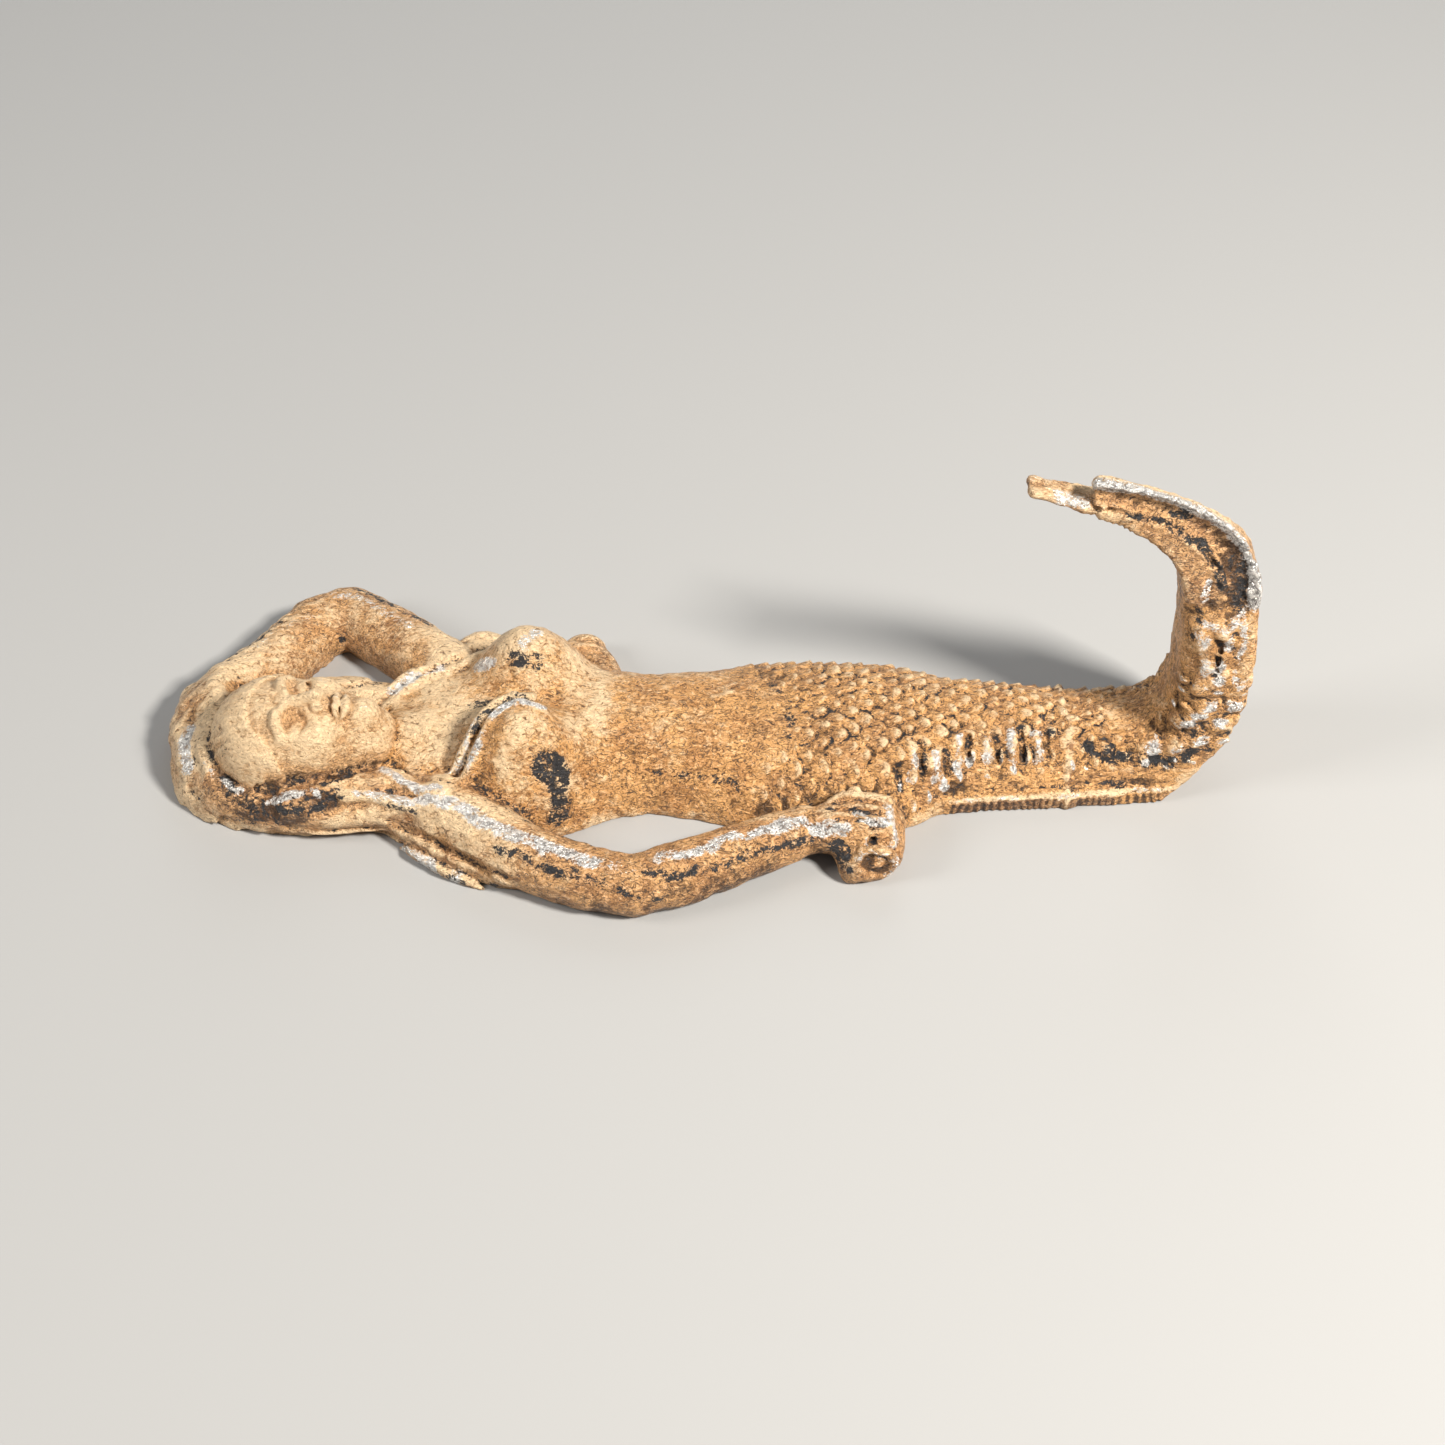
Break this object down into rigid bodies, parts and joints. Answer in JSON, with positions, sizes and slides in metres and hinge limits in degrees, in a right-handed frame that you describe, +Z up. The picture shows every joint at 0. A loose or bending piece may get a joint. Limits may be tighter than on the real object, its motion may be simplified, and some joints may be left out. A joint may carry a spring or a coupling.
{
  "type": "mermaid hook",
  "caption": "Cast-iron mermaid lying on a flat back, arms bent, scaled tail curling up and back to form a wall hook.",
  "frame": {"origin": "on the flat back, in the middle of the waist, within 1.5 mm of the middle of the figure in plan", "axes": "+X from the head to the bend of the tail, -Y towards her right arm, +Z up from the flat back to the hook; the flat back is the wall face"},
  "size_m": [0.1694, 0.0709, 0.059],
  "materials": {
    "iron_face": "cast iron, worn brown paint over black",
    "iron_hair": "cast iron, worn brown paint, black wash and silvery edges",
    "iron_body": "cast iron, worn brown paint with fine black grain",
    "iron_arms": "cast iron, worn brown paint, bare metal on the ridges",
    "iron_tail": "cast iron, brown scales, black between them, bare metal on their crests",
    "iron_plate": "rough cast iron edge, dark brown",
    "iron_fin": "rough cast iron, dark dish with a bright rim"
  },
  "bodies": {
    "root": {"head": "iron_face", "crown_hair": "iron_hair", "right_side_hair": "iron_hair", "left_side_hair": "iron_hair", "shoulder_hair_flap": "iron_hair", "chest_hair_lock": "iron_hair", "left_shoulder_strand": "iron_hair", "left_hair_curls": "iron_hair", "chest": "iron_body", "waist": "iron_body", "left_upper_arm": "iron_arms", "left_forearm": "iron_arms", "left_hand": "iron_arms", "right_upper_arm": "iron_arms", "right_forearm": "iron_arms", "right_hand": "iron_arms", "hip_tassel": "iron_arms", "tail_hips": "iron_tail", "tail_lower": "iron_tail", "tail_plate": "iron_plate", "casting_line": "iron_plate", "hook_shank": "iron_tail", "outer_fluke_lobe": "iron_fin", "inner_fluke_lobe": "iron_fin"}
  },
  "joints": []
}
